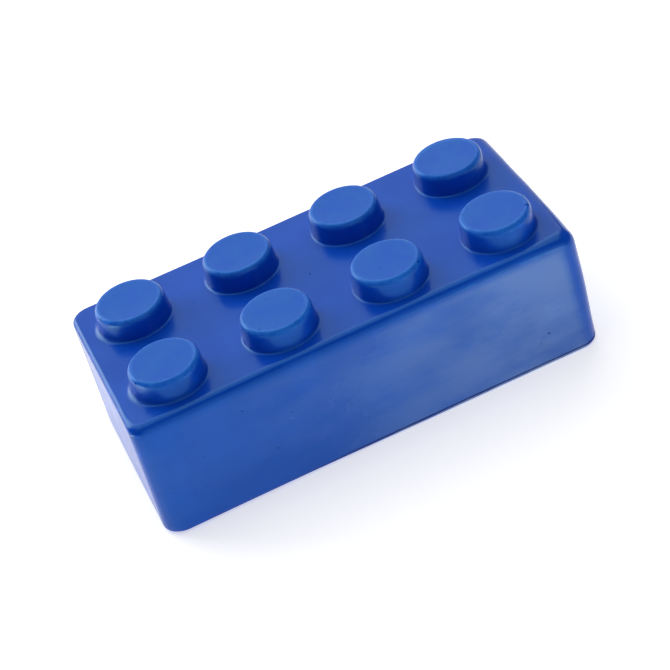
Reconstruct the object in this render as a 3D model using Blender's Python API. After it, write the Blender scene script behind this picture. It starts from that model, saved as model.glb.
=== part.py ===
"""Detailing clay block, moulded in the shape of a building brick.

Three pieces lie one inside or under the other: a tough moulded skin with eight
hollow studs, a foam core that fills the skin and its studs, and a thin layer of
clay under both, which is the working face.

Metres, +Z up. The origin is the centre of the working face. +X runs along the
four columns of studs, and +Y runs across the two rows.
"""
import math

import bmesh
import bpy

# Studs
STUD_PITCH = 0.025
STUD_COLUMNS = 4
STUD_ROWS = 2
STUD_HEIGHT = 0.0050
STUD_TOP_RADIUS = 0.0077
STUD_ROOT_RADIUS = 0.0080
STUD_RIM_RADIUS = 0.0009

# Body, over the skin and the clay layer together
BODY_HEIGHT = 0.0281
BASE_LENGTH = 0.1013
BASE_WIDTH = 0.0513
DRAFT_ANGLE = math.radians(2.5)
BASE_CORNER_RADIUS = 0.0054
TOP_CORNER_RADIUS = 0.0030
LEAST_CORNER_RADIUS = 0.0009
TOP_EDGE_RADIUS = 0.0018
BOTTOM_EDGE_RADIUS = 0.0005

# Layers
SKIN_THICKNESS = 0.0010
CLAY_THICKNESS = 0.0008
GAP = 0.0003

# Fineness of the round shapes
CORNER_STEPS = 6
EDGE_STEPS = 3
OUTER_STUD_SEGMENTS = 32
INNER_STUD_SEGMENTS = 24
SMOOTH_ANGLE = math.radians(32)
STUD_SINK = 0.0030

SKIN_FLOOR = CLAY_THICKNESS + GAP


def clear_scene():
    for item in list(bpy.data.objects):
        bpy.data.objects.remove(item, do_unlink=True)


def make_material(name, color, roughness):
    material = bpy.data.materials.new(name)
    material.use_nodes = True
    shader = material.node_tree.nodes["Principled BSDF"]
    shader.inputs["Base Color"].default_value = (*color, 1.0)
    shader.inputs["Roughness"].default_value = roughness
    shader.inputs["Metallic"].default_value = 0.0
    return material


def outline(height, inset):
    """One level of the drafted body: a rectangle with round corners."""
    taper = height * math.tan(DRAFT_ANGLE)
    half_length = BASE_LENGTH / 2 - taper - inset
    half_width = BASE_WIDTH / 2 - taper - inset
    share = height / BODY_HEIGHT
    full_radius = BASE_CORNER_RADIUS + (TOP_CORNER_RADIUS - BASE_CORNER_RADIUS) * share
    radius = max(full_radius - inset, LEAST_CORNER_RADIUS)
    points = []
    for corner, (side_x, side_y) in enumerate([(1, 1), (-1, 1), (-1, -1), (1, -1)]):
        centre_x = side_x * (half_length - radius)
        centre_y = side_y * (half_width - radius)
        for step in range(CORNER_STEPS + 1):
            angle = (corner + step / CORNER_STEPS) * math.pi / 2
            x = centre_x + radius * math.cos(angle)
            y = centre_y + radius * math.sin(angle)
            points.append((x, y, height))
    return points


def stack_rings(mesh, rings):
    """A closed body from rings of equal point count, lowest ring first."""
    levels = [[mesh.verts.new(point) for point in ring] for ring in rings]
    for lower, upper in zip(levels, levels[1:]):
        count = len(lower)
        for index in range(count):
            after = (index + 1) % count
            mesh.faces.new((lower[index], lower[after], upper[after], upper[index]))
    mesh.faces.new(list(reversed(levels[0])))
    mesh.faces.new(levels[-1])


def make_object(name, mesh, material):
    data = bpy.data.meshes.new(name)
    mesh.to_mesh(data)
    mesh.free()
    data.shade_smooth()
    data.set_sharp_from_angle(angle=SMOOTH_ANGLE)
    data.materials.append(material)
    piece = bpy.data.objects.new(name, data)
    bpy.context.scene.collection.objects.link(piece)
    return piece


def block(name, material, floor, ceiling, inset, edge_radius):
    """The drafted body between two levels, with its top edge rounded."""
    rings = [outline(floor, inset), outline(ceiling - edge_radius, inset)]
    for step in range(1, EDGE_STEPS + 1):
        angle = step / EDGE_STEPS * math.pi / 2
        level = ceiling - edge_radius * (1 - math.sin(angle))
        pull = edge_radius * (1 - math.cos(angle))
        rings.append(outline(level, inset + pull))
    mesh = bmesh.new()
    stack_rings(mesh, rings)
    return make_object(name, mesh, material)


def stud_rings(centre, inset, rim_radius, segments):
    """A stud's turned profile, from below the body's top up to its flat end."""
    top = BODY_HEIGHT + STUD_HEIGHT - inset
    profile = [
        (STUD_ROOT_RADIUS - inset, BODY_HEIGHT - inset - STUD_SINK),
        (STUD_ROOT_RADIUS - inset, BODY_HEIGHT - inset),
    ]
    for step in range(EDGE_STEPS + 1):
        angle = step / EDGE_STEPS * math.pi / 2
        radius = STUD_TOP_RADIUS - inset - rim_radius * (1 - math.cos(angle))
        profile.append((radius, top - rim_radius * (1 - math.sin(angle))))
    rings = []
    for radius, level in profile:
        ring = []
        for index in range(segments):
            turn = 2 * math.pi * index / segments
            x = centre[0] + radius * math.cos(turn)
            y = centre[1] + radius * math.sin(turn)
            ring.append((x, y, level))
        rings.append(ring)
    return rings


def stud_centres():
    for column in range(STUD_COLUMNS):
        for row in range(STUD_ROWS):
            x = (column - (STUD_COLUMNS - 1) / 2) * STUD_PITCH
            y = (row - (STUD_ROWS - 1) / 2) * STUD_PITCH
            yield x, y


def stud_set(name, material, inset, rim_radius, segments):
    """All the studs as one guide, which a Boolean joins to a block."""
    mesh = bmesh.new()
    for centre in stud_centres():
        stack_rings(mesh, stud_rings(centre, inset, rim_radius, segments))
    return make_guide(make_object(name, mesh, material))


def make_guide(piece):
    piece.hide_render = True
    piece.display_type = "WIRE"
    return piece


def combine(piece, other, operation):
    modifier = piece.modifiers.new(other.name, "BOOLEAN")
    modifier.operation = operation
    modifier.solver = "EXACT"
    modifier.object = other


def inner_form(name, material, floor, inset):
    """The filled inside of the block and its studs, set in from the outer form."""
    edge_radius = TOP_EDGE_RADIUS / 2
    rim_radius = STUD_RIM_RADIUS / 2
    form = block(name, material, floor, BODY_HEIGHT - inset, inset, edge_radius)
    studs = stud_set(name + "_studs", material, inset, rim_radius, INNER_STUD_SEGMENTS)
    combine(form, studs, "UNION")
    return form


def make_moulded_skin(material):
    skin = block("moulded_skin", material, SKIN_FLOOR, BODY_HEIGHT, 0.0, TOP_EDGE_RADIUS)
    studs = stud_set("outer_studs", material, 0.0, STUD_RIM_RADIUS, OUTER_STUD_SEGMENTS)
    cavity = inner_form("skin_cavity", material, CLAY_THICKNESS / 2, SKIN_THICKNESS)
    combine(skin, studs, "UNION")
    combine(skin, make_guide(cavity), "DIFFERENCE")


def make_foam_core(material):
    inner_form("foam_core", material, SKIN_FLOOR, SKIN_THICKNESS + GAP)


def make_clay_face(material):
    rings = []
    for step in range(EDGE_STEPS + 1):
        angle = step / EDGE_STEPS * math.pi / 2
        level = BOTTOM_EDGE_RADIUS * (1 - math.cos(angle))
        pull = BOTTOM_EDGE_RADIUS * (1 - math.sin(angle))
        rings.append(outline(level, pull))
    rings.append(outline(CLAY_THICKNESS, 0.0))
    mesh = bmesh.new()
    stack_rings(mesh, rings)
    make_object("clay_face", mesh, material)


def main():
    clear_scene()
    make_moulded_skin(make_material("blue_skin", (0.05, 0.14, 0.46), 0.42))
    make_foam_core(make_material("blue_foam", (0.16, 0.27, 0.52), 0.95))
    make_clay_face(make_material("blue_clay", (0.06, 0.17, 0.50), 0.60))


main()
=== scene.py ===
"""Looks of the brick-shaped detailing clay block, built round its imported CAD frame.

The block is one moulded, satin blue form. Its outer surface is made here as a fine mesh
with the soft edges, shallow sinks, uneven foot and pinholes of moulded foam.

Lengths inside the shape code are millimetres; a mesh becomes metres when it is finished.
The materials and the stage are in metres throughout.
Along runs from -1 at the left end to 1 at the right, across from -1 at the front face
to 1 at the back.
"""
import math
import random

import bmesh
import bpy
import numpy as np
from mathutils import Matrix, Vector, noise
from mathutils.bvhtree import BVHTree


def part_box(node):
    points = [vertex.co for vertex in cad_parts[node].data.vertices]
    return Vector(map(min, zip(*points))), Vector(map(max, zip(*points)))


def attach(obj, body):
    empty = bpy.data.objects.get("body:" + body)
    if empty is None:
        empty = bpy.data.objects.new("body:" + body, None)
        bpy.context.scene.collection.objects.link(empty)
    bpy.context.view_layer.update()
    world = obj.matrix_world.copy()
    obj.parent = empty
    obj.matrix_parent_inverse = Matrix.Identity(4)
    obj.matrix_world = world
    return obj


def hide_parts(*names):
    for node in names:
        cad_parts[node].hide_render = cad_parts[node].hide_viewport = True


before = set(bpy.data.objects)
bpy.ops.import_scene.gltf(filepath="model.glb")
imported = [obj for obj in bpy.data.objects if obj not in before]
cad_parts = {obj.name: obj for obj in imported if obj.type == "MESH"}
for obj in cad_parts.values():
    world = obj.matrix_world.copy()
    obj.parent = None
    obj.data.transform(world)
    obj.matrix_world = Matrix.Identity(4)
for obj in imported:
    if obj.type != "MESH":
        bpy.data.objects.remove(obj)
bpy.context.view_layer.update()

MM = 0.001

# ---------------------------------------------------------------- sizes from the frame
skin_low, skin_high = (np.array(corner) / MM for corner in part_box("moulded_skin"))
core_high = np.array(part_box("foam_core")[1]) / MM
clay_high = np.array(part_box("clay_face")[1]) / MM

TOTAL_HEIGHT = float(skin_high[2])
HALF_LENGTH = float(clay_high[0])
HALF_WIDTH = float(clay_high[1])
SKIN_FLOOR = float(skin_low[2])
CLAY_TOP = float(clay_high[2])
CORE_INSET = float(skin_high[2] - core_high[2])

# ---------------------------------------------------------------- the moulding's own sizes
STUD_HEIGHT = 5.0
BODY_HEIGHT = TOTAL_HEIGHT - STUD_HEIGHT
PITCH = 25.0
COLUMNS = 4
ROWS = 2
STUD_TOP_RADIUS = 7.7
STUD_ROOT_RADIUS = 8.0
DRAFT = math.tan(math.radians(2.5))
SKIN_THICKNESS = 1.0

# Steps of the grid that the studs' cells and the walls share
CELL_STEPS = 24
ACROSS = CELL_STEPS * COLUMNS
ALONG = CELL_STEPS * ROWS


def smooth(low, high, value):
    """A smooth step from 0 at low to 1 at high."""
    t = min(max((value - low) / (high - low), 0.0), 1.0)
    return t * t * (3.0 - 2.0 * t)


# ---------------------------------------------------------------- camera
CAMERA_AZIMUTH = math.radians(-9.91)
CAMERA_ELEVATION = math.radians(36.31)
CAMERA_ROLL = math.radians(18.54)
CAMERA_DISTANCE = 0.4657
CAMERA_AIM = Vector((-0.0007, -0.0034, 0.01405))
CAMERA_LENS = 117.83
SENSOR_WIDTH = 36.0


def make_camera():
    flat = math.cos(CAMERA_ELEVATION)
    back = Vector((
        math.sin(CAMERA_AZIMUTH) * flat,
        -math.cos(CAMERA_AZIMUTH) * flat,
        math.sin(CAMERA_ELEVATION),
    ))
    right = Vector((0, 0, 1)).cross(back).normalized()
    up = back.cross(right)
    tilted_right = right * math.cos(CAMERA_ROLL) - up * math.sin(CAMERA_ROLL)
    tilted_up = back.cross(tilted_right)
    turn = Matrix((tilted_right, tilted_up, back)).transposed()
    data = bpy.data.cameras.new("camera")
    data.lens = CAMERA_LENS
    data.sensor_width = SENSOR_WIDTH
    camera = bpy.data.objects.new("camera", data)
    place = Matrix.Translation(CAMERA_AIM + back * CAMERA_DISTANCE)
    camera.matrix_world = place @ turn.to_4x4()
    bpy.context.scene.collection.objects.link(camera)
    bpy.context.scene.camera = camera


# ---------------------------------------------------------------- outline of the body
CORNER_RADIUS_TOP = {(-1, -1): 3.0, (1, -1): 3.4, (1, 1): 3.2, (-1, 1): 4.2}
CORNER_RADIUS_BASE = {(-1, -1): 4.4, (1, -1): 4.2, (1, 1): 4.4, (-1, 1): 5.2}
LEAST_CORNER_RADIUS = 0.6

# The right end stands almost upright and bows out at the foot of its middle
RIGHT_TUCK = 1.35
RIGHT_RISE = 0.66
RIGHT_RISE_HEIGHT = 18.0
LEFT_DRAFT = math.tan(math.radians(1.6))
BACK_DRAFT = math.tan(math.radians(2.0))


def corner_radius(side_x, side_y, height):
    share = min(max(height / BODY_HEIGHT, 0.0), 1.0)
    low = CORNER_RADIUS_BASE[side_x, side_y]
    high = CORNER_RADIUS_TOP[side_x, side_y]
    return low + (high - low) * share


def round_corner(x, y, half_x, half_y, radius):
    """Moves a point of a rectangle's edge onto the same rectangle with round corners."""
    side_x = 1 if x > 0 else -1
    side_y = 1 if y > 0 else -1
    from_x = abs(x) - (half_x - radius)
    from_y = abs(y) - (half_y - radius)
    if from_x <= 0 or from_y <= 0:
        return x, y
    if abs(x) >= half_x - 1e-9:
        angle = from_y / radius * math.pi / 4
    else:
        angle = math.pi / 2 - from_x / radius * math.pi / 4
    centre_x = side_x * (half_x - radius)
    centre_y = side_y * (half_y - radius)
    return (
        centre_x + side_x * radius * math.cos(angle),
        centre_y + side_y * radius * math.sin(angle),
    )


def outline_point(step_x, step_y, height, inset):
    """The body's outline at one height, as a point of the rectangular grid's edge."""
    front = HALF_WIDTH - height * DRAFT - inset
    back = HALF_WIDTH - height * BACK_DRAFT - inset
    left = HALF_LENGTH - height * LEFT_DRAFT - inset
    right = HALF_LENGTH - RIGHT_TUCK + RIGHT_RISE * smooth(0.0, RIGHT_RISE_HEIGHT, height) - inset
    half_x = (right + left) / 2
    half_y = (back + front) / 2
    x = (2.0 * step_x / ACROSS - 1.0) * half_x
    y = (2.0 * step_y / ALONG - 1.0) * half_y
    if step_x in (0, ACROSS) or step_y in (0, ALONG):
        side = (1 if x > 0 else -1, 1 if y > 0 else -1)
        radius = max(corner_radius(*side, height) - inset, LEAST_CORNER_RADIUS)
        x, y = round_corner(x, y, half_x, half_y, radius)
    return x + (right - left) / 2, y + (back - front) / 2


def edge_steps():
    """The grid's edge, once round, anticlockwise from the front left corner."""
    steps = [(i, 0) for i in range(ACROSS)]
    steps += [(ACROSS, j) for j in range(ALONG)]
    steps += [(i, ALONG) for i in range(ACROSS, 0, -1)]
    steps += [(0, j) for j in range(ALONG, 0, -1)]
    return steps


def top_edge_radius(step_x, step_y):
    """The top edge is softer along the front and right, and softest where these two meet."""
    along = 2.0 * step_x / ACROSS - 1.0
    across = 2.0 * step_y / ALONG - 1.0
    front = smooth(0.75, 1.0, -across)
    right = smooth(0.90, 1.0, along)
    corner = smooth(0.80, 1.0, along) * smooth(0.30, 1.0, -across)
    return 1.1 + max(0.9 * front, 1.15 * right) + 1.0 * corner


# ---------------------------------------------------------------- unevenness of the moulding
FACE_SINK = 0.25
END_SINK = 0.10
BASE_BOW = 0.30
BASE_BOW_LEFT = 0.05
FOOT_RADIUS_LEFT = 1.3
FOOT_RADIUS_RIGHT = 0.6
WAVE_LENGTH = 11.0
WAVE_HEIGHT = 0.07
# The waves' noise starts from the clock unless it is given a seed other than 0
WAVE_SEED = 7


def foot_pull(along, height):
    """How far the rounded foot draws the walls in, close to the floor."""
    share = smooth(-0.5, 0.3, along)
    radius = FOOT_RADIUS_LEFT + (FOOT_RADIUS_RIGHT - FOOT_RADIUS_LEFT) * share
    if height >= radius:
        return 0.0
    return radius - math.sqrt(radius * radius - (radius - height) ** 2)


def uneven(x, y, height):
    """Moves a point of the form as the foam did when it cooled, and keeps it in the CAD box."""
    along = x / HALF_LENGTH
    across = y / HALF_WIDTH
    near_face = smooth(0.80, 1.0, abs(across))
    near_end = smooth(0.90, 1.0, abs(along))
    level = smooth(2.0, 9.0, height) * (1.0 - smooth(BODY_HEIGHT - 12.0, BODY_HEIGHT - 2.0, height))
    sink = FACE_SINK * (1.0 - abs(along) ** 6) * level
    bow = BASE_BOW * (1.0 - along * along) + BASE_BOW_LEFT * (1.0 - along)
    foot = foot_pull(along, height)
    y -= math.copysign((sink + bow) * near_face + foot * smooth(0.7, 0.9, abs(across)), y)
    x -= math.copysign(END_SINK * (1.0 - across ** 4) * level * near_end, x)
    x -= math.copysign(foot * smooth(0.85, 0.95, abs(along)), x)
    if x > 0:
        rest_of_height = 1.0 - min(height / BODY_HEIGHT, 1.0)
        x += RIGHT_TUCK * rest_of_height * (1.0 - min(across * across, 1.0)) * near_end
    wave = noise.noise_vector(Vector((x, y, height)) / WAVE_LENGTH) * WAVE_HEIGHT
    lift = smooth(0.0, 8.0, height)
    return (
        min(max(x + wave.x * lift, -HALF_LENGTH), HALF_LENGTH),
        min(max(y + wave.y * lift, -HALF_WIDTH), HALF_WIDTH),
        min(max(height + wave.z * lift, 0.0), TOTAL_HEIGHT),
    )


# ---------------------------------------------------------------- studs
RIM_REACH = 0.95
RIM_DROP = 1.5
DISH_DEPTH = 0.12
ROOT_REACH = 0.45
ROOT_RISE = 0.40
WIDE_ROOT = {0: 1.0, 1: 0.35, 2: 0.1, 3: 0.1}
WIDE_ROOT_TURN = math.radians(178)
BACK_RIGHT_STUD_SHIFT = (0.15, 0.65)


def stud_centre(column, row):
    x = (column - (COLUMNS - 1) / 2) * PITCH
    y = (row - (ROWS - 1) / 2) * PITCH
    if (column, row) == (COLUMNS - 1, ROWS - 1):
        x += BACK_RIGHT_STUD_SHIFT[0]
        y += BACK_RIGHT_STUD_SHIFT[1]
    return x, y


def stud_profile(fine, wide):
    """(radius, height above the top face) from near a stud's centre out to its root's end."""
    flat = STUD_TOP_RADIUS - RIM_REACH
    top_steps = 12 if fine else 3
    rim_steps = 10 if fine else 2
    wall_steps = 8 if fine else 1
    root_steps = 7 if fine else 1
    reach = ROOT_REACH + wide
    rise = ROOT_RISE + 0.5 * wide
    points = []
    for i in range(1, top_steps + 1):
        share = i / top_steps
        points.append((flat * share, STUD_HEIGHT - DISH_DEPTH * (1.0 - share ** 3)))
    for i in range(1, rim_steps + 1):
        angle = i / rim_steps * math.pi / 2
        radius = flat + RIM_REACH * math.sin(angle)
        points.append((radius, STUD_HEIGHT - RIM_DROP * (1.0 - math.cos(angle))))
    for i in range(1, wall_steps + 1):
        share = i / wall_steps
        radius = STUD_TOP_RADIUS + (STUD_ROOT_RADIUS - STUD_TOP_RADIUS) * share
        points.append((radius, (STUD_HEIGHT - RIM_DROP) * (1.0 - share) + rise * share))
    for i in range(1, root_steps + 1):
        angle = i / root_steps * math.pi / 2
        radius = STUD_ROOT_RADIUS + reach * (1.0 - math.cos(angle))
        points.append((radius, rise * (1.0 - math.sin(angle))))
    return points


# ---------------------------------------------------------------- mesh of the whole form
FLAT_SHARES_FINE = [0.06, 0.14, 0.24, 0.36, 0.50, 0.64, 0.77, 0.88, 0.95, 1.0]
FLAT_SHARES_COARSE = [0.5, 1.0]
SEAM_CLOSING = 0.2


def seam_level(step_x):
    """The skin's lower rim, which almost closes on the clay towards the left end."""
    along = 2.0 * step_x / ACROSS - 1.0
    return SKIN_FLOOR - SEAM_CLOSING * (1.0 - smooth(-0.6, 0.1, along))


def wall_rows(fine):
    """Each ring of the wall below the top face: ("edge", share) or ("wall", share)."""
    edge_count = 9 if fine else 2
    wall_count = 32 if fine else 5
    rows = [("edge", i / edge_count) for i in range(edge_count + 1)]
    rows += [("wall", 1.0 - (1.0 - i / wall_count) ** 1.4) for i in range(1, wall_count + 1)]
    return rows


def edge_radius(step, fine):
    """The top edge's radius, halved on the coarse inner surfaces."""
    radius = top_edge_radius(*step)
    return radius if fine else 0.5 * radius


def wall_point(step, row, inset, fine):
    kind, share = row
    ceiling = BODY_HEIGHT - inset
    radius = edge_radius(step, fine)
    if kind == "edge":
        angle = share * math.pi / 2
        level = ceiling - radius * (1.0 - math.cos(angle))
        pull = inset + radius * (1.0 - math.sin(angle))
    else:
        top = ceiling - radius
        level = top + (seam_level(step[0]) - top) * share
        pull = inset
    x, y = outline_point(*step, level, pull)
    return uneven(x, y, level)


def add_form(mesh, inset, fine):
    """Adds the form's surface to a mesh and gives back its lowest ring of vertices."""
    rows = wall_rows(fine)
    ceiling = BODY_HEIGHT - inset
    grid = {}

    def grid_vertex(step_x, step_y):
        key = (step_x, step_y)
        if key not in grid:
            if step_x in (0, ACROSS) or step_y in (0, ALONG):
                point = wall_point(key, rows[0], inset, fine)
            else:
                pull = inset + edge_radius(key, fine)
                point = uneven(*outline_point(*key, ceiling, pull), ceiling)
            grid[key] = mesh.verts.new(point)
        return grid[key]

    for column in range(COLUMNS):
        for row in range(ROWS):
            add_cell(mesh, column, row, inset, fine, grid_vertex)
    ring = [grid_vertex(*step) for step in edge_steps()]
    for row in rows[1:]:
        below = [mesh.verts.new(wall_point(step, row, inset, fine)) for step in edge_steps()]
        join_rings(mesh, below, ring)
        ring = below
    return ring


def join_rings(mesh, lower, upper):
    count = len(lower)
    for i in range(count):
        j = (i + 1) % count
        mesh.faces.new((lower[i], lower[j], upper[j], upper[i]))


def cell_border(column, row):
    """Grid steps round one cell, anticlockwise from its front left corner."""
    x0 = column * CELL_STEPS
    y0 = row * CELL_STEPS
    border = [(x0 + i, y0) for i in range(CELL_STEPS)]
    border += [(x0 + CELL_STEPS, y0 + i) for i in range(CELL_STEPS)]
    border += [(x0 + CELL_STEPS - i, y0 + CELL_STEPS) for i in range(CELL_STEPS)]
    border += [(x0, y0 + CELL_STEPS - i) for i in range(CELL_STEPS)]
    return border


def add_cell(mesh, column, row, inset, fine, grid_vertex):
    """One stud and the square of top face round it."""
    ceiling = BODY_HEIGHT - inset
    centre_x, centre_y = stud_centre(column, row)
    count = 4 * CELL_STEPS
    turns = [math.radians(-135.0) + 2.0 * math.pi * i / count for i in range(count)]
    profiles = []
    for turn in turns:
        facing = max(math.cos(turn - WIDE_ROOT_TURN), 0.0) ** 2
        profiles.append(stud_profile(fine, WIDE_ROOT[column] * facing if fine else 0.0))
    middle_height = ceiling + STUD_HEIGHT - DISH_DEPTH
    middle = mesh.verts.new(uneven(centre_x, centre_y, middle_height))
    previous = None
    for level in range(len(profiles[0])):
        ring = []
        for turn, profile in zip(turns, profiles):
            radius, height = profile[level]
            small = max(radius - inset, radius * 0.1)
            x = centre_x + small * math.cos(turn)
            y = centre_y + small * math.sin(turn)
            ring.append(mesh.verts.new(uneven(x, y, ceiling + height)))
        if previous is None:
            for i in range(count):
                mesh.faces.new((middle, ring[i], ring[(i + 1) % count]))
        else:
            join_rings(mesh, ring, previous)
        previous = ring
    root_ring = previous
    border = [grid_vertex(*step) for step in cell_border(column, row)]
    for share in FLAT_SHARES_FINE if fine else FLAT_SHARES_COARSE:
        if share == 1.0:
            ring = border
        else:
            ring = [mesh.verts.new(a.co.lerp(b.co, share)) for a, b in zip(root_ring, border)]
        join_rings(mesh, ring, previous)
        previous = ring


# ---------------------------------------------------------------- finishing a piece
SMOOTH_ANGLE = math.radians(40)


def finish_piece(name, data, material):
    """Turns a millimetre mesh into a smooth, named piece in metres."""
    data.name = name
    data.transform(Matrix.Scale(MM, 4))
    data.shade_smooth()
    data.set_sharp_from_angle(angle=SMOOTH_ANGLE)
    data.materials.clear()
    data.materials.append(material)
    piece = bpy.data.objects.new(name, data)
    bpy.context.scene.collection.objects.link(piece)
    return piece


def to_data(mesh, name):
    data = bpy.data.meshes.new(name)
    mesh.to_mesh(data)
    mesh.free()
    return data


# ---------------------------------------------------------------- pinholes
# The pits that stand out: on a stud (column, row, turn, radius) or on the front face (x, z),
# each with its length, width and depth and the way its length points
STUD_PITS = [
    (3, 0, -23, 7.05, 1.7, 0.45, 0.50, -67),
    (2, 0, -42, 7.35, 0.7, 0.55, 0.45, -20),
    (2, 0, -33, 7.15, 0.35, 0.30, 0.25, 0),
    (0, 0, -157, 7.45, 0.55, 0.45, 0.45, 0),
    (1, 0, 93, 4.6, 0.30, 0.25, 0.15, 0),
]
FRONT_PITS = [
    (-46.3, 10.7, 0.30, 0.30, 0.2, 0),
    (-38.0, 15.5, 0.25, 0.25, 0.2, 0),
    (38.7, 7.5, 0.60, 0.50, 0.35, 0),
    (36.4, 6.0, 0.90, 0.18, 0.12, 25),
    (42.0, 12.0, 1.40, 0.20, 0.10, 8),
]
SMALL_PITS = 44
SMALL_PIT_SIZES = (0.16, 0.36)
PIT_SEED = 11
FAR = 90.0


def stud_pit_aims():
    for column, row, turn, radius, long, wide, deep, spin in STUD_PITS:
        centre_x, centre_y = stud_centre(column, row)
        x = centre_x + radius * math.cos(math.radians(turn))
        y = centre_y + radius * math.sin(math.radians(turn))
        yield Vector((x, y, FAR)), Vector((0, 0, -1)), (long, wide, deep), spin


def front_pit_aims():
    for x, height, long, wide, deep, spin in FRONT_PITS:
        yield Vector((x, -FAR, height)), Vector((0, 1, 0)), (long, wide, deep), spin


def small_pit_aims():
    """Tiny bubbles scattered over the top, the stud rims and the four walls."""
    draw = random.Random(PIT_SEED)
    for index in range(SMALL_PITS):
        size = draw.uniform(*SMALL_PIT_SIZES)
        x = draw.uniform(-0.93, 0.93) * HALF_LENGTH
        y = draw.uniform(-0.9, 0.9) * HALF_WIDTH
        height = draw.uniform(3.0, BODY_HEIGHT - 3.0)
        turn = draw.uniform(0.0, 2.0 * math.pi)
        kind = index % 4
        if kind == 0:
            centre_x, centre_y = stud_centre(draw.randrange(COLUMNS), draw.randrange(ROWS))
            radius = draw.uniform(6.6, 7.6)
            start = Vector((centre_x + radius * math.cos(turn), centre_y + radius * math.sin(turn), FAR))
            way = Vector((0, 0, -1))
        elif kind == 1:
            start = Vector((x, y, FAR))
            way = Vector((0, 0, -1))
        elif kind == 2:
            side = draw.choice((-1, 1, 1))
            start = Vector((x, side * FAR, height))
            way = Vector((0, -side, 0))
        else:
            side = draw.choice((-1, 1))
            start = Vector((side * FAR, y, height))
            way = Vector((-side, 0, 0))
        yield start, way, (size, size, size), 0


def add_pit(cutter, place, normal, sizes, spin):
    """A flattened ball, sunk in the surface so that it cuts a pit of the given size."""
    long, wide, deep = sizes
    ball = bmesh.ops.create_icosphere(cutter, subdivisions=2, radius=0.5)
    stretch = Matrix.Diagonal((long, wide, 2.0 * deep, 1.0))
    turn = normal.to_track_quat("Z", "Y").to_matrix().to_4x4()
    flat_spin = Matrix.Rotation(math.radians(spin), 4, "Z")
    move = Matrix.Translation(place) @ turn @ flat_spin @ stretch
    bmesh.ops.transform(cutter, matrix=move, verts=ball["verts"])


def cut_pits(data):
    """Cuts all the pinholes from a millimetre mesh and gives back the new mesh."""
    surface = bmesh.new()
    surface.from_mesh(data)
    tree = BVHTree.FromBMesh(surface)
    surface.free()
    cutter = bmesh.new()
    for aims in (stud_pit_aims(), front_pit_aims(), small_pit_aims()):
        for start, way, sizes, spin in aims:
            place, normal, _, _ = tree.ray_cast(start, way)
            add_pit(cutter, place, normal, sizes, spin)
    cutter_piece = bpy.data.objects.new("pit_cutter", to_data(cutter, "pit_cutter"))
    block_piece = bpy.data.objects.new("uncut_block", data)
    for piece in (cutter_piece, block_piece):
        bpy.context.scene.collection.objects.link(piece)
    modifier = block_piece.modifiers.new("pits", "BOOLEAN")
    modifier.operation = "DIFFERENCE"
    modifier.solver = "EXACT"
    modifier.object = cutter_piece
    graph = bpy.context.evaluated_depsgraph_get()
    result = bpy.data.meshes.new_from_object(block_piece.evaluated_get(graph))
    for piece in (cutter_piece, block_piece):
        bpy.data.objects.remove(piece, do_unlink=True)
    return result


# ---------------------------------------------------------------- the three pieces
def make_skin(material):
    """The moulded skin: the fine outer surface, the plain inner one and the rim that joins them."""
    mesh = bmesh.new()
    outer_rim = add_form(mesh, 0.0, fine=True)
    outer_count = len(mesh.faces)
    inner_rim = add_form(mesh, SKIN_THICKNESS, fine=False)
    mesh.faces.ensure_lookup_table()
    bmesh.ops.reverse_faces(mesh, faces=mesh.faces[outer_count:])
    join_rings(mesh, inner_rim, outer_rim)
    return finish_piece("skin_shell", cut_pits(to_data(mesh, "skin_shell")), material)


def make_core(material):
    mesh = bmesh.new()
    rim = add_form(mesh, CORE_INSET, fine=False)
    mesh.faces.new(list(reversed(rim)))
    return finish_piece("foam_filling", to_data(mesh, "foam_filling"), material)


CLAY_EDGE = 0.35
CLAY_EDGE_STEPS = 6
CLAY_FACE_SHARES = (0.90, 0.75, 0.55, 0.35, 0.15)


def make_clay(material):
    """The clay layer: a thin slab with a soft lower edge."""
    rows = [(0.0, CLAY_EDGE + HALF_WIDTH * share) for share in CLAY_FACE_SHARES]
    for i in range(CLAY_EDGE_STEPS + 1):
        angle = i / CLAY_EDGE_STEPS * math.pi / 2
        rows.append((CLAY_EDGE * (1.0 - math.cos(angle)), CLAY_EDGE * (1.0 - math.sin(angle))))
    rows.append((CLAY_TOP - 0.1, 0.0))
    rows.append((CLAY_TOP, 0.1))
    mesh = bmesh.new()
    rings = []
    for level, pull in rows:
        ring = []
        for step in edge_steps():
            ring.append(mesh.verts.new(uneven(*outline_point(*step, level, pull), level)))
        rings.append(ring)
    mesh.faces.new(list(reversed(rings[0])))
    for lower, upper in zip(rings, rings[1:]):
        join_rings(mesh, lower, upper)
    mesh.faces.new(rings[-1])
    return finish_piece("clay_layer", to_data(mesh, "clay_layer"), material)


# ---------------------------------------------------------------- material helpers
def new_material(name):
    material = bpy.data.materials.new(name)
    material.use_nodes = True
    tree = material.node_tree
    return material, tree, tree.nodes["Principled BSDF"]


def link(tree, source, target):
    tree.links.new(source, target)


def position(tree, stretch=(1.0, 1.0, 1.0)):
    """The point on the piece, in metres, stretched for streaky patterns."""
    place = tree.nodes.new("ShaderNodeTexCoord")
    mapping = tree.nodes.new("ShaderNodeMapping")
    mapping.inputs["Scale"].default_value = stretch
    link(tree, place.outputs["Object"], mapping.inputs["Vector"])
    return mapping.outputs["Vector"]


def cloud(tree, vector, scale, detail=3.0, roughness=0.5):
    """Noise of the given scale, in cells to the metre."""
    texture = tree.nodes.new("ShaderNodeTexNoise")
    texture.inputs["Scale"].default_value = scale
    texture.inputs["Detail"].default_value = detail
    texture.inputs["Roughness"].default_value = roughness
    link(tree, vector, texture.inputs["Vector"])
    return texture.outputs["Fac"]


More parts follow.
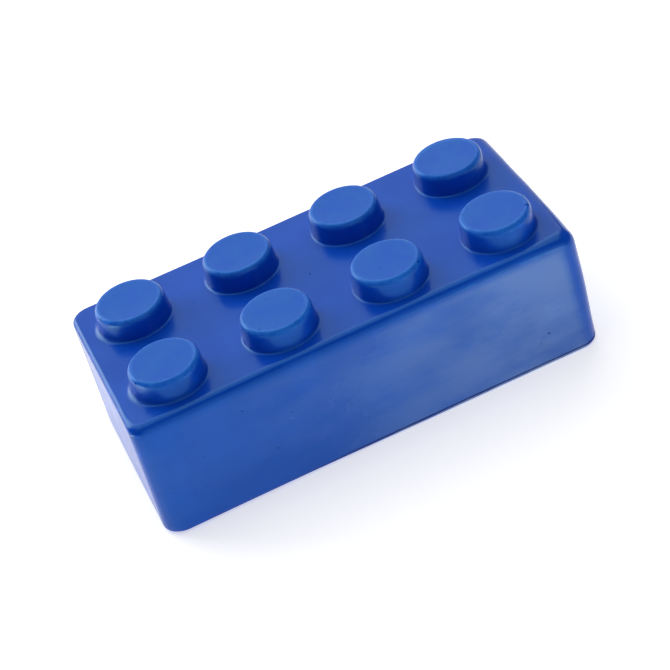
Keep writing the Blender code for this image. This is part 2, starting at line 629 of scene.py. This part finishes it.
def ramp(tree, value, low, high, start=0.0, end=1.0):
    """A smooth step of a value between low and high, from start to end."""
    step = tree.nodes.new("ShaderNodeMapRange")
    step.interpolation_type = "SMOOTHSTEP"
    step.inputs["From Min"].default_value = low
    step.inputs["From Max"].default_value = high
    step.inputs["To Min"].default_value = start
    step.inputs["To Max"].default_value = end
    link(tree, value, step.inputs["Value"])
    return step.outputs["Result"]


def arithmetic(tree, operation, first, second):
    """One sum of two values, each a socket or a plain number."""
    sum_node = tree.nodes.new("ShaderNodeMath")
    sum_node.operation = operation
    for socket, value in zip(sum_node.inputs, (first, second)):
        if isinstance(value, float):
            socket.default_value = value
        else:
            link(tree, value, socket)
    return sum_node.outputs["Value"]


def product(tree, *values):
    result = values[0]
    for value in values[1:]:
        result = arithmetic(tree, "MULTIPLY", result, value)
    return result


def blend(tree, amount, first, second):
    """Mixes two colours, each a socket or a plain colour."""
    mix = tree.nodes.new("ShaderNodeMix")
    mix.data_type = "RGBA"
    link(tree, amount, mix.inputs["Factor"])
    for socket, value in zip((mix.inputs[6], mix.inputs[7]), (first, second)):
        if isinstance(value, tuple):
            socket.default_value = (*value, 1.0)
        else:
            link(tree, value, socket)
    return mix.outputs[2]


def bump(tree, height, distance, strength, under=None):
    relief = tree.nodes.new("ShaderNodeBump")
    relief.inputs["Distance"].default_value = distance
    relief.inputs["Strength"].default_value = strength
    link(tree, height, relief.inputs["Height"])
    if under is not None:
        link(tree, under, relief.inputs["Normal"])
    return relief.outputs["Normal"]


def specks(tree, vector, scale, size):
    """Small round marks, one in most cells of the given scale."""
    texture = tree.nodes.new("ShaderNodeTexVoronoi")
    texture.inputs["Scale"].default_value = scale
    link(tree, vector, texture.inputs["Vector"])
    return ramp(tree, texture.outputs["Distance"], size * 0.6, size, 1.0, 0.0)


# ---------------------------------------------------------------- materials
SKIN_DEEP = (0.0018, 0.058, 0.49)
SKIN_LIGHT = (0.0028, 0.070, 0.54)
SKIN_STUD_TOP = (0.0030, 0.092, 0.63)
SKIN_STUD_PALE = (0.006, 0.118, 0.60)
SKIN_PALE_RIM = (0.020, 0.165, 0.72)
SKIN_FILM_AND_SHEEN = (0.60, 0.83, 0.97)
# Not a physical value: it keeps the reflections nearly as blue as the skin itself
SKIN_TINT = (0.30, 0.95, 1.0, 1.0)
CLAY_DEEP = (0.002, 0.045, 0.40)
CLAY_LIGHT = (0.004, 0.066, 0.50)
FOAM_HOLLOW_SHADE = (0.03, 0.10, 0.36)
FOAM_LIGHT = (0.10, 0.22, 0.55)
FLOOR_DARK = (0.89, 0.89, 0.89)
FLOOR_PALE = (0.91, 0.91, 0.91)
POLYMER_IOR = 1.45

# Where the pale film and its painted reflection lie: how far out, along the block, before the right end
# and below the top
FILM_AND_SHEEN_WALL = (0.0235, 0.0242)
FILM_AND_SHEEN_RISE = (-0.036, 0.040)
FILM_AND_SHEEN_RIGHT_END = (0.0445, 0.0478)
FILM_AND_SHEEN_TOP = (0.0246, 0.0271)
FILM_AND_SHEEN_LEAST = 0.13
FILM_AND_SHEEN_PATCHES = (0.52, 1.16)
FILM_AND_SHEEN_STRENGTH = 0.19
CLAY_FILM_AND_SHEEN_STRENGTH = 1.5 * FILM_AND_SHEEN_STRENGTH

# Where the studs' tops turn paler, and the paler, rougher ring on their rims
STUD_TOP_LEVEL = (0.0312, 0.0328)
STUD_TOP_SHARE = 0.8
PALE_RIM_RADIUS = (0.0060, 0.0071)
PALE_RIM_LEVEL = (0.0321, 0.0329)
PALE_RIM_SHARES = (0.30, 0.85)
PIT_SHADE = 0.5

SKIN_ROUGHNESS = 0.19
MOTTLE_ROUGHNESS = 0.05
FILM_AND_SHEEN_ROUGHNESS = 0.9
PALE_RIM_ROUGHNESS = 0.20


def axes(tree, vector):
    """The X, Y and Z of a vector."""
    split = tree.nodes.new("ShaderNodeSeparateXYZ")
    link(tree, vector, split.inputs["Vector"])
    return [split.outputs[name] for name in ("X", "Y", "Z")]


def film_and_sheen_mask(tree, vector):
    """The pale film on the long walls, in ragged patches and clear of the rounded edges.

    It is drawn stronger to the right; that rise is partly uneven film and partly a painted reflection.
    The back wall's film is a copy of the front's.
    """
    x, y, z = axes(tree, position(tree))
    wall = ramp(tree, arithmetic(tree, "ABSOLUTE", y, 0.0), *FILM_AND_SHEEN_WALL)
    rise = ramp(tree, x, *FILM_AND_SHEEN_RISE, FILM_AND_SHEEN_LEAST, 1.0)
    right = ramp(tree, x, *FILM_AND_SHEEN_RIGHT_END, 1.0, 0.0)
    top = ramp(tree, z, *FILM_AND_SHEEN_TOP, 1.0, 0.0)
    patches = ramp(tree, cloud(tree, vector, 75.0, 5.0, 0.6), 0.30, 0.66, *FILM_AND_SHEEN_PATCHES)
    return product(tree, wall, rise, right, top, patches)


def stud_radius(tree, x, y):
    """The distance from the middle of the nearest stud."""
    squares = []
    for value in (x, y):
        wrap = arithmetic(tree, "WRAP", value, PITCH * MM)
        wrap.node.inputs[2].default_value = 0.0
        offset = arithmetic(tree, "SUBTRACT", wrap, 0.5 * PITCH * MM)
        squares.append(arithmetic(tree, "MULTIPLY", offset, offset))
    return arithmetic(tree, "SQRT", arithmetic(tree, "ADD", *squares), 0.0)


def pale_rim_mask(tree, place):
    """A paler, rougher ring round the top of each stud, in patches."""
    x, y, z = axes(tree, place)
    ring = ramp(tree, stud_radius(tree, x, y), *PALE_RIM_RADIUS)
    level = ramp(tree, z, *PALE_RIM_LEVEL)
    rim_patches = ramp(tree, cloud(tree, place, 620.0, 4.0, 0.6), 0.30, 0.70, *PALE_RIM_SHARES)
    return product(tree, ring, level, rim_patches)


def skin_colour(tree, place, mottle, pale_rim, film_and_sheen, pits):
    height = axes(tree, place)[2]
    colour = blend(tree, mottle, SKIN_DEEP, SKIN_LIGHT)
    stud_tops = ramp(tree, height, *STUD_TOP_LEVEL, 0.0, STUD_TOP_SHARE)
    stud_mottle = ramp(tree, cloud(tree, place, 170.0, 5.0, 0.6), 0.32, 0.68)
    stud_colour = blend(tree, stud_mottle, SKIN_STUD_TOP, SKIN_STUD_PALE)
    colour = blend(tree, stud_tops, colour, stud_colour)
    colour = blend(tree, pale_rim, colour, SKIN_PALE_RIM)
    # The pale film on the long walls, with a painted reflection that grows to the right
    colour = blend(tree, film_and_sheen, colour, SKIN_FILM_AND_SHEEN)
    return blend(tree, product(tree, pits, PIT_SHADE), colour, SKIN_DEEP)


def skin_roughness(tree, mottle, pale_rim, film_and_sheen):
    rough = arithmetic(tree, "MULTIPLY_ADD", mottle, MOTTLE_ROUGHNESS)
    rough.node.inputs[2].default_value = SKIN_ROUGHNESS
    rough = arithmetic(tree, "ADD", rough, product(tree, film_and_sheen, FILM_AND_SHEEN_ROUGHNESS))
    return arithmetic(tree, "ADD", rough, product(tree, pale_rim, PALE_RIM_ROUGHNESS))


def skin_relief(tree, place, pits):
    """Orange peel, a fine grain and the smallest pits."""
    relief = bump(tree, cloud(tree, place, 420.0, 2.0), 0.00012, 0.12)
    relief = bump(tree, cloud(tree, place, 1400.0, 2.0), 0.00003, 0.25, relief)
    return bump(tree, arithmetic(tree, "SUBTRACT", 1.0, pits), 0.00010, 0.5, relief)


def skin_material():
    """Satin moulded skin: mottled blue, paler studs with a paler, rougher ring on their rims, a pale
    film and a painted reflection on the long walls.
    """
    material, tree, shader = new_material("moulded_blue_skin")
    place = position(tree)
    streaky = position(tree, (0.55, 1.0, 1.3))
    mottle = ramp(tree, cloud(tree, place, 95.0, 4.0), 0.30, 0.70)
    pits = specks(tree, place, 230.0, 0.055)
    film_and_sheen = product(tree, film_and_sheen_mask(tree, streaky), FILM_AND_SHEEN_STRENGTH)
    pale_rim = pale_rim_mask(tree, place)
    link(tree, skin_colour(tree, place, mottle, pale_rim, film_and_sheen, pits), shader.inputs["Base Color"])
    link(tree, skin_roughness(tree, mottle, pale_rim, film_and_sheen), shader.inputs["Roughness"])
    link(tree, skin_relief(tree, place, pits), shader.inputs["Normal"])
    shader.inputs["IOR"].default_value = POLYMER_IOR
    shader.inputs["Specular Tint"].default_value = SKIN_TINT
    return material


def clay_material():
    """Soft polymer clay: a little duller, with fine wiping streaks along the block."""
    material, tree, shader = new_material("blue_clay")
    place = position(tree)
    streaks = cloud(tree, position(tree, (0.06, 1.0, 1.0)), 900.0, 3.0)
    mottle = ramp(tree, cloud(tree, place, 120.0, 4.0), 0.3, 0.7)
    colour = blend(tree, mottle, CLAY_DEEP, CLAY_LIGHT)
    # The same pale film and painted reflection on the clay's long walls
    film_and_sheen = product(tree, film_and_sheen_mask(tree, place), CLAY_FILM_AND_SHEEN_STRENGTH)
    link(tree, blend(tree, film_and_sheen, colour, SKIN_FILM_AND_SHEEN), shader.inputs["Base Color"])
    link(tree, ramp(tree, streaks, 0.2, 0.8, 0.34, 0.52), shader.inputs["Roughness"])
    relief = bump(tree, streaks, 0.00008, 0.35)
    relief = bump(tree, cloud(tree, place, 500.0, 3.0), 0.0001, 0.25, relief)
    link(tree, relief, shader.inputs["Normal"])
    shader.inputs["IOR"].default_value = POLYMER_IOR
    return material


def foam_material():
    """Open cells of foam, seen only when the skin is hidden."""
    material, tree, shader = new_material("blue_foam")
    place = position(tree)
    cells = specks(tree, place, 900.0, 0.45)
    # Each open cell's hollow is darker: painted shade
    link(tree, blend(tree, cells, FOAM_LIGHT, FOAM_HOLLOW_SHADE), shader.inputs["Base Color"])
    link(tree, ramp(tree, cells, 0.0, 1.0, 0.85, 0.97), shader.inputs["Roughness"])
    link(tree, bump(tree, cells, -0.0003, 0.8), shader.inputs["Normal"])
    return material


FLOOR_GLOW = 0.52


def floor_material():
    """A plain white table, lit a little from within like a product photographer's."""
    material, tree, shader = new_material("white_floor")
    grain = cloud(tree, position(tree), 3.0, 2.0)
    link(tree, blend(tree, grain, FLOOR_DARK, FLOOR_PALE), shader.inputs["Base Color"])
    shader.inputs["Roughness"].default_value = 0.9
    shader.inputs["Specular IOR Level"].default_value = 0.1
    shader.inputs["Emission Color"].default_value = (1.0, 1.0, 1.0, 1.0)
    shader.inputs["Emission Strength"].default_value = FLOOR_GLOW
    return material


# ---------------------------------------------------------------- stage
FLOOR_SIZE = 6.0
# Just under the clay, so that the two flat faces never share a plane
FLOOR_LEVEL = -0.00002
WORLD_STRENGTH = 0.10

WHITE = (1.0, 1.0, 1.0)
WARM = (1.0, 0.96, 0.80)
WIDE = math.radians(180)

# name: place, aim, length, width, power, spread and colour of each softbox
SOFTBOXES = {
    "overhead": ((0.0, 0.25, 0.90), (0, 0, 0), 1.1, 1.1, 5.1, WIDE, WHITE),
    "backdrop": ((0.20, 0.85, 0.50), (0, 0, 0), 1.1, 1.1, 3.1, WIDE, WHITE),
    "back_left": ((-0.52, 0.72, 0.42), (0, 0, 0), 0.6, 0.6, 4.5, WIDE, WHITE),
    "front_fill": ((0.15, -0.90, 0.24), (0, 0, 0), 0.9, 0.7, 1.4, WIDE, WHITE),
    "front_pool": ((0.085, -0.21, 0.09), (0.085, -0.21, 0), 0.04, 0.18, 0.24, math.radians(40), WHITE),
    "left_pool": ((-0.18, -0.01, 0.09), (-0.18, -0.01, 0), 0.10, 0.04, 0.15, math.radians(50), WARM),
}


def make_floor():
    bpy.ops.mesh.primitive_plane_add(size=FLOOR_SIZE, location=(0, 0, FLOOR_LEVEL))
    floor = bpy.context.object
    floor.name = "floor"
    floor.data.materials.append(floor_material())


def add_softbox(name, place, aim, length, width, power, spread, colour):
    data = bpy.data.lights.new(name, "AREA")
    data.shape = "RECTANGLE"
    data.size = length
    data.size_y = width
    data.energy = power
    data.color = colour
    data.spread = spread
    light = bpy.data.objects.new(name, data)
    light.location = place
    light.rotation_euler = (Vector(aim) - Vector(place)).to_track_quat("-Z", "Y").to_euler()
    bpy.context.scene.collection.objects.link(light)


def make_lights():
    world = bpy.data.worlds.new("studio")
    world.use_nodes = True
    background = world.node_tree.nodes["Background"]
    background.inputs["Color"].default_value = (1.0, 1.0, 1.0, 1.0)
    background.inputs["Strength"].default_value = WORLD_STRENGTH
    bpy.context.scene.world = world
    for name, settings in SOFTBOXES.items():
        add_softbox(name, *settings)


# ---------------------------------------------------------------- build
bpy.context.scene.view_settings.view_transform = "Standard"
noise.seed_set(WAVE_SEED)
make_camera()
make_lights()
make_floor()

skin = make_skin(skin_material())
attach(skin, "root")
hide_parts("moulded_skin")

core = make_core(foam_material())
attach(core, "root")
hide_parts("foam_core")

clay = make_clay(clay_material())
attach(clay, "root")
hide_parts("clay_face")
